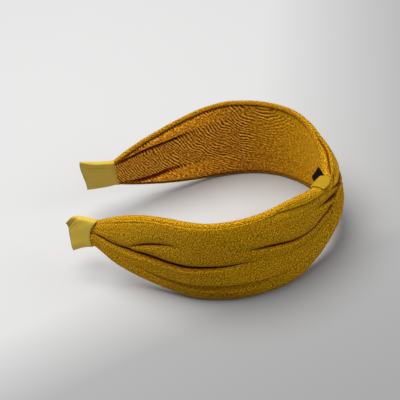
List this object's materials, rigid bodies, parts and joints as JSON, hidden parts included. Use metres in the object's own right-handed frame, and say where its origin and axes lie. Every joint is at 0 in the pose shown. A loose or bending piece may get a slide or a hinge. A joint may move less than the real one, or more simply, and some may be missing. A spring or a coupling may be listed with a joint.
{
  "type": "knotted headband",
  "caption": "Wide fabric-covered hoop headband with a flat crossed knot at the crown, a ribbed lining, ribbon-wrapped tips and sprung arms that open round a head.",
  "frame": {"origin": "bottom centre of the bounding box, on the surface that the lower rim lies on", "axes": "+X points at the crown and the knot, the U opens towards -X, the near arm is on -Y, and +Z is across the band's width"},
  "size_m": [0.153, 0.117, 0.053],
  "materials": {
    "jersey": "matte pebbled knit",
    "lining": "matte fine rib knit",
    "ribbon": "soft satin",
    "thread": "matte",
    "label": "dense weave",
    "wadding": "soft matte",
    "hoop_plastic": "satin",
    "glue": "set hot-melt"
  },
  "bodies": {
    "crown": {"hoop_crown": "hoop_plastic", "crown_lining": "lining", "near_knot_strand": "jersey", "far_knot_strand": "jersey", "knot_tack_stitches": "thread", "crown_tape": "ribbon", "woven_label": "label"},
    "near_arm": {"near_hoop_arm": "hoop_plastic", "near_wadding": "wadding", "near_cover": "jersey", "near_lining": "lining", "near_seam_stitches": "thread", "near_tip_glue": "glue", "near_tip_ribbon": "ribbon"},
    "far_arm": {"far_hoop_arm": "hoop_plastic", "far_wadding": "wadding", "far_cover": "jersey", "far_lining": "lining", "far_seam_stitches": "thread", "far_tip_glue": "glue", "far_tip_ribbon": "ribbon"}
  },
  "joints": [
    {"name": "near_arm_flex", "type": "hinge", "parent": "crown", "child": "near_arm", "pos_m": [0.0606, -0.0291, 0.0265], "axis": [0, 0, 1], "range_deg": [-6, 14], "stiffness_Nm_per_rad": 0.8},
    {"name": "far_arm_flex", "type": "hinge", "parent": "crown", "child": "far_arm", "pos_m": [0.0606, 0.0291, 0.0265], "axis": [0, 0, -1], "range_deg": [-6, 14], "stiffness_Nm_per_rad": 0.8}
  ]
}
